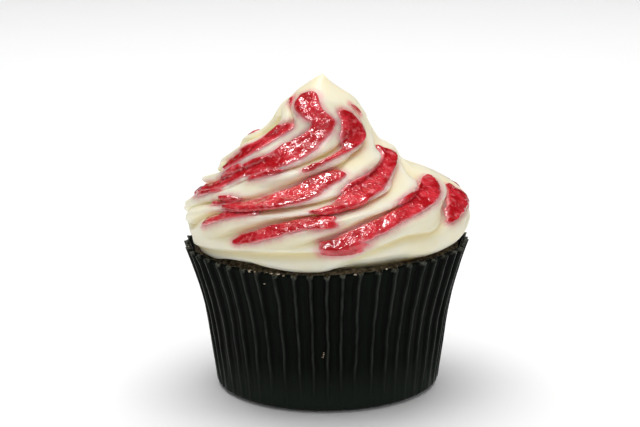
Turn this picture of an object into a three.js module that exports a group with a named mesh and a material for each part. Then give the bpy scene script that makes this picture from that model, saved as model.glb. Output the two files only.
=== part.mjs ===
// A cupcake in its paper case: a dark fluted case, a chocolate sponge that fills it, and a piped
// swirl of buttercream with raspberry sauce lying on the ledges between its folds.
// Millimetres, +Z up, origin at the centre of the base. The front of the swirl faces -Y.
// Angles are in degrees, counterclockwise seen from above, from +X.

import * as THREE from "three";

// ---- Driving dimensions: paper case ----

const CASE_HEIGHT = 35;
const CASE_FOOT_RADIUS = 27.2;
const CASE_FOOT_ROUNDING = 1.2;
const CASE_WALL_SLOPE = 0.154;
const CASE_FLARE_START = 18;
const CASE_FLARE = 2.4;
const CASE_FLARE_POWER = 1.8;
const PAPER = 0.4;
const PLEATS = 52;
const PLEAT_DEPTH_FOOT = 0.5;
const PLEAT_DEPTH_RIM = 1.7;
const PLEAT_FOLD_SHARE = 0.36;
const RIM_UNEVENNESS = 0.2;

// ---- Driving dimensions: sponge ----

const GAP = 0.3;
const CAKE_EDGE_HEIGHT = 34.2;
const CAKE_DOME = 4.4;
const CAKE_DOME_POWER = 5;
const CAKE_SIDES = 52;

// ---- Driving dimensions: swirl ----

const SWIRL_BASE = 35.5;
const SWIRL_TOP = 76;
const SWIRL_SEAT_RADIUS = 30;

// How far the lower edge of the cream is raised, by angle, less and less up to a height.
const EDGE_LIFT = [
  [-180, 2.8],
  [-168, 2.4],
  [-158, 0],
  [-144, 0],
  [-134, 1],
  [-124, 1.4],
  [-115, 0.6],
  [-106, 0.3],
  [-93, 0.2],
  [-85, 1.1],
  [-76, 2.2],
  [-60, 2.6],
  [-52, 1.7],
  [-42, 1.3],
  [-30, 1.5],
  [-12, 2.4],
  [40, 1.6],
  [110, 0.8],
  [180, 2.8],
];
const EDGE_EVEN_ABOVE = 42;

// Radius over the crests of the folds at each height, at the -X side and at the +X side.
const LEFT_PROFILE = [
  [35.5, 32.8],
  [36.4, 33.2],
  [38, 33.4],
  [41, 34],
  [44, 34.3],
  [47.5, 32],
  [49.8, 30.4],
  [52, 27.2],
  [54.5, 25.6],
  [57, 23],
  [59.6, 20.4],
  [62, 15.8],
  [64.6, 13],
  [68.5, 10.6],
  [70, 8.8],
  [72, 6.4],
  [74.5, 2.5],
  [76, 0],
];
const RIGHT_PROFILE = [
  [35.5, 32.8],
  [36.4, 33.9],
  [38, 34.6],
  [42, 34.9],
  [45, 34.7],
  [48, 31.6],
  [50.4, 28],
  [51.7, 25.6],
  [53, 21.2],
  [54.8, 18.6],
  [57.6, 16.8],
  [59.2, 13.6],
  [64.6, 10.4],
  [67, 9.2],
  [70, 7],
  [72, 4.2],
  [74.5, 1.2],
  [76, 0],
];
const TIP_OFFSET = 0.4;

// How far every fold has turned round the swirl, at each height: level at the base, steeper
// above, and back again where the nozzle was pulled away.
const SWIRL_TURN = [
  [40, -22],
  [42, -8],
  [44, 4],
  [47, 22],
  [49, 46],
  [51, 68],
  [54, 86],
  [58, 112],
  [61, 126],
  [63.5, 132],
  [66, 126],
  [70, 104],
  [76, 86],
];

// The folds at the front, from the right to the left, and where each one starts from at these
// heights, before the turn. The folds behind are spread between the last and the first.
const FOLD_LEVELS = [40, 46, 50, 54, 58, 62, 66];
const FRONT_FOLDS = {
  lowRight: [-70, -74, -77, -85, -84, -82, -80],
  lowFront: [-110, -112, -116, -108, -104, -102, -102],
  waist: [-140, -150, -143, -126, -114, -118, -124],
  middle: [-158, -172, -171, -167, -162, -150, -146],
  branch: [-178, -184, -210, -219, -203, -170, -164],
  upper: [-182, -190, -216, -226, -226, -219, -204],
  crown: [-214, -236, -246, -249, -261, -268, -251],
};

// How far each fold behind lies from its even place.
const BACK_SHIFTS = [5, 6, 12, 14, 23];

const FOLD_DEPTH = 3.1;
const FOLD_FULL_GAP = 30;
const FOLD_FADE_START = 38;
const FOLD_FADE_END = 43;
const FOLD_FADE_RADIUS = [6, 16];

// How much higher up the folds fade out, by angle.
const FOLD_FADE_LIFT = [
  [-180, -1.5],
  [-163, -1.5],
  [-148, 2],
  [-110, 2.2],
  [-82, 1],
  [-70, 1.5],
  [-55, 3.6],
  [-38, 3.6],
  [-22, 1.5],
  [-5, 1],
  [40, 0],
  [140, 0],
  [180, -1.5],
];

const GROOVE_SHARE = 0.5;
const LEDGE_CURVE = 0.9;
const FACE_CURVE = 3;

// Each streak of sauce lies on the ledge behind a crest. A row of it has a height, and how far it
// reaches from that crest (0) towards the next (1), at its near and at its far edge. Below 0 it
// hangs over its crest, onto the face of the fold in front.
const SAUCE_RELIEF = 0.9;
const SAUCE_END = 0.7;
const SAUCE_LEAST_WIDTH = 0.12;
const FRONT_STREAKS = [
  {
    fold: "lowRight",
    rows: [
      [39.6, -0.24, -0.1], [40.1, -0.22, 0.03], [40.8, -0.18, 0.14], [41.5, -0.12, 0.27],
      [42.2, -0.07, 0.38], [42.9, 0, 0.46], [43.6, 0.03, 0.42], [44.6, 0.03, 0.46],
      [46.2, 0.01, 0.45], [47.2, -0.05, 0.42], [48.5, -0.06, 0.5], [49.6, -0.03, 0.84],
      [50.6, 0, 0.94], [51.2, 0.03, 0.55], [51.8, 0.05, 0.2],
    ],
  },
  {
    fold: "lowFront",
    rows: [
      [40.8, 0.02, 0.1], [42, 0.02, 0.31], [43.5, 0.04, 0.4], [45, 0.04, 0.42], [45.7, 0.02, 0.42],
      [46.05, -0.27, 0.4], [46.8, -0.18, 0.4], [47.5, 0, 0.38], [48, 0.1, 0.34],
    ],
  },
  {
    fold: "waist",
    rows: [
      [43.2, -0.02, 0.1], [44.6, -0.02, 0.28], [46.2, 0, 0.38], [47.2, 0.04, 0.66],
      [48, 0.2, 0.96], [48.4, 0.5, 1],
    ],
  },
  {
    fold: "waist",
    rows: [
      [48.5, -0.68, -0.4], [49, -0.66, -0.02], [49.6, -0.62, 0.1], [50.2, -0.42, 0.22],
      [51, -0.14, 0.42], [51.8, -0.05, 0.6], [53, -0.05, 0.82], [54.2, -0.05, 0.86],
      [55.4, -0.05, 0.72], [56.4, -0.03, 0.52], [57.4, 0.08, 0.5], [58.2, 0.26, 0.52],
      [59, 0.4, 0.56],
    ],
  },
  {
    fold: "middle",
    rows: [
      [47.9, -0.06, 0.08], [48.4, -0.26, 0.22], [49.5, -0.24, 0.36], [50.3, -0.16, 0.44],
      [51.4, -0.07, 0.5], [53, 0.04, 0.45], [55, 0.07, 0.52], [55.8, 0.2, 0.56],
      [56.4, 0.34, 0.58],
    ],
  },
  {
    fold: "middle",
    rows: [
      [47.5, 0.2, 0.36], [48.4, 0.25, 0.5], [49.2, 0.4, 0.66], [50, 0.56, 0.86], [50.6, 0.72, 0.9],
    ],
  },
  {
    fold: "middle",
    rows: [
      [66.8, 0, 0.14], [68, 0, 0.24], [69.3, 0.02, 0.12],
    ],
  },
  {
    fold: "branch",
    rows: [
      [47.8, 0.1, 0.3], [48.5, 0.06, 0.85], [49.4, 0.02, 0.95], [50.4, 0.3, 0.95],
      [51, 0.55, 0.85],
    ],
  },
  {
    fold: "branch",
    rows: [
      [53.8, 0.02, 0.3], [54.4, 0.01, 0.9], [55, 0.02, 0.97], [55.8, 0.3, 0.98],
      [56.8, 0.66, 0.94],
    ],
  },
  {
    fold: "branch",
    rows: [
      [56.3, -0.2, -0.1], [57.4, -0.08, 0.1], [59, 0.02, 0.2], [60.3, -0.02, 0.34],
      [61.5, -0.11, 0.62], [63.3, -0.05, 0.8], [65, 0, 0.8], [67, 0.04, 0.7], [68.6, 0.08, 0.5],
    ],
  },
  {
    fold: "upper",
    rows: [
      [47.3, -0.02, 0.26], [50, 0.02, 0.46], [52, 0.02, 0.62], [53.5, 0.04, 0.82],
      [54.6, 0.2, 0.9], [55.6, 0.5, 0.97], [56.6, 0.84, 0.98],
    ],
  },
  {
    fold: "upper",
    rows: [
      [54.3, 0.02, 0.25], [55.4, 0.02, 0.6], [56.6, -0.03, 0.84], [57.8, -0.06, 0.84],
      [59, -0.05, 0.76], [60.4, 0, 0.76], [62, 0.05, 0.72], [63.6, 0.04, 0.66],
      [65.5, -0.02, 0.66], [67, -0.08, 0.82], [69.5, -0.05, 0.97], [71.3, -0.05, 0.9],
      [72.3, -0.02, 0.6],
    ],
  },
  {
    fold: "crown",
    rows: [
      [53.6, 0.02, 0.3], [55.5, 0.02, 0.6], [57.5, 0.02, 0.66], [59, 0, 0.76], [60.5, 0, 0.72],
      [62.5, 0, 0.85], [64, -0.03, 0.94], [65.6, -0.03, 0.7],
    ],
  },
  {
    fold: "crown",
    rows: [
      [69, 0.16, 0.36], [70, 0.3, 0.68], [70.8, 0.44, 0.66],
    ],
  },
];
const LAST_BACK_STREAK = [
  [43, 0.2, 0.3], [43.6, 0.12, 0.34], [44.4, 0.05, 0.38], [45.2, 0, 0.42], [46.2, -0.01, 0.43],
  [47.2, 0.06, 0.46], [48, 0.2, 0.48], [48.6, 0.36, 0.48],
];

// The streaks on the folds behind, from height to height, and how they taper along their length.
const BACK_STREAKS = [[[45, 53]], [[42, 49], [56, 61]], [[47, 56], [60, 66]], [[43, 51]]];
const BACK_STREAK_REACH = [[0, 0.02, 0.12], [0.2, 0.02, 0.34], [0.55, 0.03, 0.44], [1, 0.12, 0.26]];

// ---- Mesh resolution ----

const CASE_ROWS = [1, 10, 19, 25, 30, 35];
const CAKE_ROWS = [1.5, 10, 19, 25, 30, 33.4];
const CRUST_SHARES = [1, 0.95, 0.88, 0.75, 0.4];
const SEAT_SHARES = [0.35, 0.7, 0.85, 0.93, 1];
const FOLD_COLUMNS = [0, 0.06, 0.22, 0.38, GROOVE_SHARE, 0.6, 0.8];
const ROW_TURN_LIMIT = 9;
const ROW_HEIGHT_LIMIT = 1.2;
const HEIGHT_SEARCH_STEP = 0.05;

// ---- Curves ----

const radians = THREE.MathUtils.degToRad;
const clamp = THREE.MathUtils.clamp;
const smoothstep = THREE.MathUtils.smoothstep;

// A smooth curve through [x, y] knots that never swings past them.
function curveThrough(knots) {
  const rises = knots.slice(1).map(([x, y], k) => (y - knots[k][1]) / (x - knots[k][0]));
  const slopes = knots.map((_, k) => {
    if (k === 0) return rises[0];
    if (k === rises.length) return rises[k - 1];
    const product = rises[k - 1] * rises[k];
    return product > 0 ? (2 * product) / (rises[k - 1] + rises[k]) : 0;
  });
  return (x) => {
    const last = knots.length - 2;
    const found = knots.findIndex(([knotX]) => knotX > x) - 1;
    const k = found < 0 ? (x < knots[0][0] ? 0 : last) : found;
    const width = knots[k + 1][0] - knots[k][0];
    const t = clamp((x - knots[k][0]) / width, 0, 1);
    const startBlend = (1 + 2 * t) * (1 - t) ** 2;
    const endBlend = t * t * (3 - 2 * t);
    const startPull = t * (1 - t) ** 2 * width * slopes[k];
    const endPull = t * t * (t - 1) * width * slopes[k + 1];
    return startBlend * knots[k][1] + endBlend * knots[k + 1][1] + startPull + endPull;
  };
}

// The same direction as an angle between -180 and 180.
function aroundFront(degrees) {
  return THREE.MathUtils.euclideanModulo(degrees + 180, 360) - 180;
}

// A point on a circle round the Z axis.
function around(radius, degrees, height) {
  const angle = radians(degrees);
  return new THREE.Vector3(radius * Math.cos(angle), radius * Math.sin(angle), height);
}

// ---- Closed surfaces from rings ----

// Joins a pole, a stack of rings with the same number of points, and a second pole into one
// closed body. Rings run counterclockwise from the bottom pole outwards and up to the top pole.
function closedBody(bottomPole, rings, topPole) {
  const points = [bottomPole, ...rings.flat(), topPole];
  const sides = rings[0].length;
  const topIndex = points.length - 1;
  const pointAt = (ring, side) => 1 + ring * sides + (side % sides);
  const faces = [];
  for (let side = 0; side < sides; side += 1) {
    faces.push(0, pointAt(0, side + 1), pointAt(0, side));
    faces.push(topIndex, pointAt(rings.length - 1, side), pointAt(rings.length - 1, side + 1));
    for (let ring = 0; ring < rings.length - 1; ring += 1) {
      const lower = pointAt(ring, side);
      const lowerNext = pointAt(ring, side + 1);
      const upper = pointAt(ring + 1, side);
      const upperNext = pointAt(ring + 1, side + 1);
      faces.push(lower, lowerNext, upper, lowerNext, upperNext, upper);
    }
  }
  const geometry = new THREE.BufferGeometry().setFromPoints(points);
  geometry.setIndex(faces);
  geometry.computeVertexNormals();
  return geometry;
}

// ---- Paper case ----

// Radius over the folds of the case: a sloping wall that flares out to the rim.
function caseRadius(height) {
  const aboveFlare = Math.max(0, height - CASE_FLARE_START) / (CASE_HEIGHT - CASE_FLARE_START);
  const flare = CASE_FLARE * aboveFlare ** CASE_FLARE_POWER;
  return CASE_FOOT_RADIUS + CASE_WALL_SLOPE * height + flare;
}

function pleatDepth(height) {
  return THREE.MathUtils.lerp(PLEAT_DEPTH_FOOT, PLEAT_DEPTH_RIM, height / CASE_HEIGHT);
}

// The cake side of the paper, between the pleats.
function valleyInside(height) {
  return caseRadius(height) - pleatDepth(height) - PAPER;
}

// One ring of the case: each pleat is a narrow fold that stands out of a wide valley.
function caseRing(height, foldRadius, valleyRadius, unevenness) {
  const pitch = 360 / PLEATS;
  const ring = [];
  for (let pleat = 0; pleat < PLEATS; pleat += 1) {
    const lift = unevenness * Math.sin(pleat * pleat);
    const halfFold = (pitch * PLEAT_FOLD_SHARE) / 2;
    ring.push(around(foldRadius, pleat * pitch, height + lift));
    ring.push(around(valleyRadius, pleat * pitch + halfFold, height + lift));
    ring.push(around(valleyRadius, (pleat + 1) * pitch - halfFold, height + lift));
  }
  return ring;
}

function paperCaseGeometry() {
  const footRadius = CASE_FOOT_RADIUS - CASE_FOOT_ROUNDING;
  const outside = CASE_ROWS.map((height) => {
    const unevenness = height === CASE_HEIGHT ? RIM_UNEVENNESS : 0;
    const radius = caseRadius(height);
    return caseRing(height, radius, radius - pleatDepth(height), unevenness);
  });
  const inside = CASE_ROWS.map((height) => {
    const unevenness = height === CASE_HEIGHT ? RIM_UNEVENNESS : 0;
    const foldInside = caseRadius(height) - 2 * PAPER;
    return caseRing(height, Math.max(foldInside, valleyInside(height)), valleyInside(height), unevenness);
  });
  const foot = caseRing(0, footRadius, footRadius - PLEAT_DEPTH_FOOT / 2, 0);
  const floorRadius = footRadius - PLEAT_DEPTH_FOOT - PAPER;
  const floor = caseRing(PAPER, floorRadius, floorRadius, 0);
  const rings = [foot, ...outside, ...inside.reverse(), floor];
  return closedBody(new THREE.Vector3(0, 0, 0), rings, new THREE.Vector3(0, 0, PAPER));
}

// ---- Sponge ----

// Height of the baked crust at a distance from the middle.
function crustHeight(radius) {
  const edge = valleyInside(CASE_HEIGHT);
  return CAKE_EDGE_HEIGHT + CAKE_DOME * (1 - (radius / edge) ** CAKE_DOME_POWER);
}

function cakeRing(radius, height) {
  const ring = [];
  for (let side = 0; side < CAKE_SIDES; side += 1) {
    ring.push(around(radius, (side * 360) / CAKE_SIDES, height));
  }
  return ring;
}

function cakeGeometry() {
  const floor = PAPER + GAP;
  const floorRadius = CASE_FOOT_RADIUS - CASE_FOOT_ROUNDING - PLEAT_DEPTH_FOOT - PAPER - GAP;
  const wall = CAKE_ROWS.map((height) => cakeRing(valleyInside(height) - GAP, height));
  const edge = valleyInside(CAKE_EDGE_HEIGHT) - 2 * GAP;
  const crust = CRUST_SHARES.map((share) => cakeRing(edge * share, crustHeight(edge * share)));
  const rings = [cakeRing(floorRadius, floor), ...wall, ...crust];
  return closedBody(new THREE.Vector3(0, 0, floor), rings, new THREE.Vector3(0, 0, crustHeight(0)));
}

// ---- Swirl of buttercream ----

const leftRadius = curveThrough(LEFT_PROFILE);
const rightRadius = curveThrough(RIGHT_PROFILE);
const swirlTurn = curveThrough(SWIRL_TURN);
const edgeRise = curveThrough(EDGE_LIFT);
const fadeLift = curveThrough(FOLD_FADE_LIFT);
const foldNames = Object.keys(FRONT_FOLDS);
const foldStarts = Object.values(FRONT_FOLDS).map((angles) => {
  return curveThrough(angles.map((angle, k) => [FOLD_LEVELS[k], angle]));
});

// Radius over the crests, between the profile of the left side and that of the right side.
function swirlRadius(height, degrees) {
  const rightness = (1 + Math.cos(radians(degrees))) / 2;
  return THREE.MathUtils.lerp(leftRadius(height), rightRadius(height), rightness);
}

// The angle of every crest at a height, going clockwise, with the first one again at the end.
function crestAngles(height) {
  const level = clamp(height, FOLD_LEVELS[0], FOLD_LEVELS.at(-1));
  const turn = swirlTurn(Math.max(height, FOLD_LEVELS[0]));
  const front = foldStarts.map((start) => start(level) + turn);
  const step = (front.at(-1) - (front[0] - 360)) / (BACK_SHIFTS.length + 1);
  const back = BACK_SHIFTS.map((shift, k) => front.at(-1) - step * (k + 1) + shift);
  return [...front, ...back, front[0] - 360];
}

// From one crest to the next, going clockwise: a ledge falls in to the groove, and the round
// face of the next fold swells out again. 0 is on a crest and 1 is at the bottom of the groove.
function foldShape(share) {
  if (share < GROOVE_SHARE) return (share / GROOVE_SHARE) ** LEDGE_CURVE;
  return ((1 - share) / (1 - GROOVE_SHARE)) ** FACE_CURVE;
}

function foldDepth(height, degrees, gap) {
  const lift = fadeLift(aroundFront(degrees));
  const low = smoothstep(height, FOLD_FADE_START + lift, FOLD_FADE_END + lift);
  const top = smoothstep(swirlRadius(height, degrees), ...FOLD_FADE_RADIUS);
  return FOLD_DEPTH * low * top * clamp(gap / FOLD_FULL_GAP, 0, 1);
}

// How far the cream's lower edge is raised at an angle.
function edgeLift(height, degrees) {
  return edgeRise(aroundFront(degrees)) * (1 - smoothstep(height, SWIRL_BASE, EDGE_EVEN_ABOVE));
}

// A streak with its two edges as curves over the height.
function streak(fold, rows) {
  const near = curveThrough(rows.map(([height, share]) => [height, share]));
  const far = curveThrough(rows.map(([height, , share]) => [height, share]));
  return { fold, near, far, low: rows[0][0], high: rows.at(-1)[0] };
}

function backStreak(fold, [low, high]) {
  const rows = BACK_STREAK_REACH.map(([along, near, far]) => [low + (high - low) * along, near, far]);
  return streak(fold, rows);
}

const FOLDS = foldNames.length + BACK_SHIFTS.length;
const streaks = [
  ...FRONT_STREAKS.map(({ fold, rows }) => streak(foldNames.indexOf(fold), rows)),
  ...BACK_STREAKS.flatMap((spans, k) => spans.map((span) => backStreak(foldNames.length + k, span))),
  streak(FOLDS - 1, LAST_BACK_STREAK),
];

// How thick the sauce lies on a fold: nothing at the edges of a streak, most in its middle.
function sauceThickness(fold, share, height) {
  const foldBehind = (fold + 1) % FOLDS;
  const layers = streaks
    .filter((one) => one.fold === fold || one.fold === foldBehind)
    .filter((one) => height >= one.low && height <= one.high)
    .map((one) => {
      const { near, far, low, high } = one;
      const fromCrest = one.fold === fold ? share : share - 1;
      const middle = (near(height) + far(height)) / 2;
      const halfWidth = Math.max(SAUCE_LEAST_WIDTH, far(height) - near(height)) / 2;
      const across = clamp(1 - ((fromCrest - middle) / halfWidth) ** 2, 0, 1);
      const start = smoothstep(height, low, low + SAUCE_END);
      return across * start * (1 - smoothstep(height, high - SAUCE_END, high));
    });
  return SAUCE_RELIEF * Math.max(0, ...layers);
}

function swirlRing(height) {
  const crests = crestAngles(height);
  const ring = [];
  for (let fold = 0; fold < crests.length - 1; fold += 1) {
    const gap = crests[fold] - crests[fold + 1];
    for (const share of FOLD_COLUMNS) {
      const angle = crests[fold] - gap * share;
      const groove = foldDepth(height, angle, gap) * foldShape(share);
      const sauce = sauceThickness(fold, share, height);
      const radius = swirlRadius(height, angle) - groove + sauce;
      ring.push(around(radius, angle, height + edgeLift(height, angle)));
    }
  }
  return ring.reverse();
}

// Rows close enough together to follow both the turn of the folds and the profile.
function swirlHeights() {
  const heights = [SWIRL_BASE];
  let height = SWIRL_BASE;
  while (height < SWIRL_TOP - ROW_HEIGHT_LIMIT) {
    const last = heights.at(-1);
    const turned = Math.abs(swirlTurn(height) - swirlTurn(last));
    if (turned > ROW_TURN_LIMIT || height - last > ROW_HEIGHT_LIMIT) heights.push(height);
    height += HEIGHT_SEARCH_STEP;
  }
  return heights;
}

function frostingGeometry() {
  const seatRings = SEAT_SHARES.map((share) => {
    const radius = SWIRL_SEAT_RADIUS * share;
    return swirlRing(SWIRL_BASE).map((point) => {
      const angle = THREE.MathUtils.radToDeg(Math.atan2(point.y, point.x));
      return around(radius, angle, crustHeight(radius) + GAP);
    });
  });
  const rings = [...seatRings, ...swirlHeights().map(swirlRing)];
  const seatPole = new THREE.Vector3(0, 0, crustHeight(0) + GAP);
  const tip = new THREE.Vector3(-TIP_OFFSET, 0, SWIRL_TOP);
  return closedBody(seatPole, rings, tip);
}

// ---- Materials ----

const casePaper = new THREE.MeshStandardMaterial({ color: 0x14191a, roughness: 0.55, metalness: 0 });
const sponge = new THREE.MeshStandardMaterial({ color: 0x2e1d16, roughness: 0.95, metalness: 0 });
const buttercream = new THREE.MeshStandardMaterial({ color: 0xf2ecd8, roughness: 0.5, metalness: 0 });

// ---- Assembly ----

function namedMesh(name, geometry, material) {
  const mesh = new THREE.Mesh(geometry, material);
  mesh.name = name;
  return mesh;
}

const cupcake = new THREE.Group();
cupcake.add(namedMesh("paper_case", paperCaseGeometry(), casePaper));
cupcake.add(namedMesh("cake", cakeGeometry(), sponge));
cupcake.add(namedMesh("frosting", frostingGeometry(), buttercream));

export default cupcake;
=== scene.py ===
# %% [markdown]
# # A cupcake with a piped swirl
#
# The real cupcake is made of four things, one on the other: a fluted paper case, a chocolate
# sponge baked in it, a swirl of buttercream piped through a star nozzle, and raspberry sauce that
# was drizzled on the swirl and ran onto its ledges. The frame gives their solids at the real size.
# Each cell below makes one of them again with its fine shape and its finish, in the same place.

import math
import random

import bmesh
import bpy
import numpy as np
from mathutils import Matrix, Vector, noise
from mathutils.bvhtree import BVHTree


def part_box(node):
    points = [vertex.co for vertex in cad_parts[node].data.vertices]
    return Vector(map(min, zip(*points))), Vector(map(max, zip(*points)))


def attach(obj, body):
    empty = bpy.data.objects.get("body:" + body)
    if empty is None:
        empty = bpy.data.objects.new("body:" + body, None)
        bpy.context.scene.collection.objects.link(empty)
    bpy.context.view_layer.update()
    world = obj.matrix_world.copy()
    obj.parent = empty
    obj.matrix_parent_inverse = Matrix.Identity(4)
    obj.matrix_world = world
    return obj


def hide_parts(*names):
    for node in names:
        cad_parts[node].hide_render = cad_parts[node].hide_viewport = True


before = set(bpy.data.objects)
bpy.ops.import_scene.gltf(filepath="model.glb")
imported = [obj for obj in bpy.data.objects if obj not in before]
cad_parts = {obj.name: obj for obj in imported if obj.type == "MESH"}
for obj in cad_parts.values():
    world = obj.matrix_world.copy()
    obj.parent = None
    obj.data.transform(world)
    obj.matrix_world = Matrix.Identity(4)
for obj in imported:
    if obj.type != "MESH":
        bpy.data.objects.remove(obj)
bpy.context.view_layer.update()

MM = 0.001
case_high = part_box("paper_case")[1] / MM
cake_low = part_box("cake")[0] / MM
swirl_low, swirl_high = [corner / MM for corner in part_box("frosting")]
print("case", tuple(round(size, 1) for size in case_high), "mm")
print("swirl from", round(swirl_low.z, 1), "to", round(swirl_high.z, 1), "mm")

# %% [markdown]
# ## The camera
#
# Food is shown best through a long lens from a little way back, where the cupcake keeps its
# proportions, and from a little above, where the ledges of the swirl show. A lens of about 107 mm
# at 45 cm does that. A Track To constraint could aim the camera, but it would keep it dead level.
# Two turns, one for the dip and one for the small roll of a camera held by hand, aim this one.

# %% The camera
CAMERA_PLACE = Vector((-1.46, -448.7, 149.9))
CAMERA_DIP = math.radians(13.58)
CAMERA_ROLL = math.radians(-0.6)
CAMERA_LENS = 106.9
CAMERA_SENSOR = 36
CAMERA_NEAR = 10

camera_data = bpy.data.cameras.new("camera")
camera_data.lens = CAMERA_LENS
camera_data.sensor_width = CAMERA_SENSOR
camera_data.clip_start = CAMERA_NEAR * MM
camera = bpy.data.objects.new("camera", camera_data)
aim = Matrix.Rotation(math.pi / 2 - CAMERA_DIP, 4, "X") @ Matrix.Rotation(CAMERA_ROLL, 4, "Z")
camera.matrix_world = Matrix.Translation(CAMERA_PLACE * MM) @ aim
bpy.context.scene.collection.objects.link(camera)
bpy.context.scene.camera = camera
print("lens", CAMERA_LENS, "mm")

# %% [markdown]
# ## Curves, steps and unevenness
#
# The shapes below are ruled by a few sizes at a few heights. A monotone cubic joins them: it is
# smooth and never swings past its knots, where a plain spline would give a bulge between two equal
# sizes. Unevenness comes from Blender's own noise, which gives the same bumps each time. Each seed
# reads it at another place. Lengths in this script are in millimetres, and angles in degrees: 0 is
# the right side and -90 the front.

# %% Curves and unevenness
NOISE_STEPS = (17.3, 5.1, 29.7)


def curve_through(knots):
    """A smooth curve through (x, y) knots that never swings past them."""
    xs, ys = np.array(knots, float).T
    rises = np.diff(ys) / np.diff(xs)
    product = rises[:-1] * rises[1:]
    total = np.where(product > 0, rises[:-1] + rises[1:], 1)
    slopes = np.concatenate([rises[:1], np.where(product > 0, 2 * product / total, 0), rises[-1:]])

    def curve(value):
        value = np.asarray(value, float)
        k = np.clip(np.searchsorted(xs, value, side="right") - 1, 0, len(xs) - 2)
        width = xs[k + 1] - xs[k]
        t = np.clip((value - xs[k]) / width, 0, 1)
        start = (1 + 2 * t) * (1 - t) ** 2 * ys[k] + t * (1 - t) ** 2 * width * slopes[k]
        end = t * t * (3 - 2 * t) * ys[k + 1] + t * t * (t - 1) * width * slopes[k + 1]
        return start + end

    return curve


def smooth_step(low, high, value):
    t = np.clip((value - low) / (high - low), 0, 1)
    return t * t * (3 - 2 * t)


def quarter_circle(share):
    """Rises from 0 to 1 as a quarter of a circle does."""
    return np.sqrt(np.clip(1 - (1 - np.clip(share, 0, 1)) ** 2, 0, 1))


def bumps(points, size, seed):
    """Smooth noise from about -1 to 1 at each point. Size is the width of a bump."""
    away = Vector([seed * step for step in NOISE_STEPS])
    flat = np.asarray(points, float).reshape(-1, 3) / size
    values = [noise.noise(Vector(point) + away) for point in flat]
    return np.array(values).reshape(np.shape(points)[:-1])


def around(radius, degrees, height):
    """Points on circles round the Z axis."""
    angle = np.radians(degrees)
    return np.stack(np.broadcast_arrays(radius * np.cos(angle), radius * np.sin(angle), height), -1)


def half_turn(degrees):
    """The same angles, between -180 and 180."""
    return (degrees + 180) % 360 - 180


def degrees_of(places):
    return np.degrees(np.arctan2(places[:, 1], places[:, 0]))


def radius_of(places):
    return np.hypot(places[:, 0], places[:, 1])


print("bumps at the origin:", [round(float(bumps((0, 0, 0), 1, seed)), 2) for seed in (1, 2, 3)])


# %% [markdown]
# ## A tube of squares
#
# Case, sponge and swirl are all round, so all three start in the same way: a straight edge is cut
# into steps and spun about the Z axis, as on a potter's wheel. That gives clean rows and columns of
# squares that close on themselves. The clay is then pushed to its shape: each point's row and
# column say where it belongs, and a first or last row that shrinks to a point is merged to a pole.
# No point may lie further out than the solids of the frame, so each is held within their radius.

# %% Spinning a tube and shaping it
HELD_WITHIN = 0.01
WIDEST = case_high.x - HELD_WITHIN
SAME_PLACE = 0.002


def spun_tube(rows, columns):
    """A tube round the Z axis, with the row and the column of each of its points."""
    tube = bmesh.new()
    side = tube.edges.new([tube.verts.new((1, 0, height)) for height in (0, 1)])
    bmesh.ops.subdivide_edges(tube, edges=[side], cuts=rows - 2)
    strip = tube.verts[:] + tube.edges[:]
    bmesh.ops.spin(
        tube, geom=strip, cent=(0, 0, 0), axis=(0, 0, 1), angle=math.tau, steps=columns, use_merge=True
    )
    places = np.array([vert.co for vert in tube.verts])
    row = np.rint(places[:, 2] * (rows - 1)).astype(int)
    turn = np.arctan2(places[:, 1], places[:, 0]) / math.tau
    column = np.rint(turn * columns).astype(int) % columns
    return tube, row, column


def shape_points(shape, places, marks):
    """Moves every point of a bmesh, in millimetres, and writes the named marks on the points."""
    places[:, :2] *= np.minimum(1, WIDEST / np.maximum(radius_of(places), 1))[:, None]
    layers = [(shape.verts.layers.float.new(name), values) for name, values in marks.items()]
    for k, vert in enumerate(shape.verts):
        vert.co = places[k] * MM
        for layer, values in layers:
            vert[layer] = values[k]
    bmesh.ops.remove_doubles(shape, verts=shape.verts, dist=SAME_PLACE * MM)
    bmesh.ops.recalc_face_normals(shape, faces=shape.faces)


def make_piece(name, shape, replaced=None):
    """Turns a bmesh into a piece that rides with the cupcake."""
    mesh = bpy.data.meshes.new(name)
    shape.to_mesh(mesh)
    shape.free()
    mesh.shade_smooth()
    piece = bpy.data.objects.new(name, mesh)
    bpy.context.scene.collection.objects.link(piece)
    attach(piece, "root")
    if replaced:
        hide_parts(replaced)
    print(name, len(mesh.vertices), "points,", len(mesh.polygons), "faces")
    return piece


# %% [markdown]
# ## The paper case
#
# A greaseproof case is a disc of paper pressed over a die: its wall is gathered into narrow folds
# that stand out, with wide valleys between them, and the folds fade out at the foot, where the
# paper is flat. The rim isn't cut again after pressing, so it is a little ragged and stands a
# little higher at its sides. Cloth physics could crumple such a wall, but it would be slow and hard
# to steer. Here a spun tube has twelve columns to a pleat, crowded at the fold, so that each fold
# can lean, waver, stop short and fade in its own way. Solidify then gives the sheet its thickness.

# %% The sizes of the case
CASE_FOOT_RADIUS = 27.2
CASE_FOOT_ROUNDING = 1.2
CASE_WALL_SLOPE = 0.154
CASE_FLARE_START = 18
CASE_FLARE = 2.4
CASE_FLARE_POWER = 1.8
CASE_HEIGHT = 35
CASE_ROWS = 40
FLOOR_ROWS = 4
PAPER = 0.25
PAPER_ROOM = 0.4
PLEATS = 52
PLEAT_COLUMNS = 12
PLEAT_CROWDING = 0.75
PLEAT_DEPTH_FOOT = 0.5
PLEAT_DEPTH_RIM = 1.7
PLEAT_TOP = 0.06
PLEAT_SIDE = 0.2
VALLEY_BULGE = 0.22


def case_radius(height):
    above_flare = np.maximum(0, height - CASE_FLARE_START) / (CASE_HEIGHT - CASE_FLARE_START)
    return CASE_FOOT_RADIUS + CASE_WALL_SLOPE * height + CASE_FLARE * above_flare ** CASE_FLARE_POWER


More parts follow.
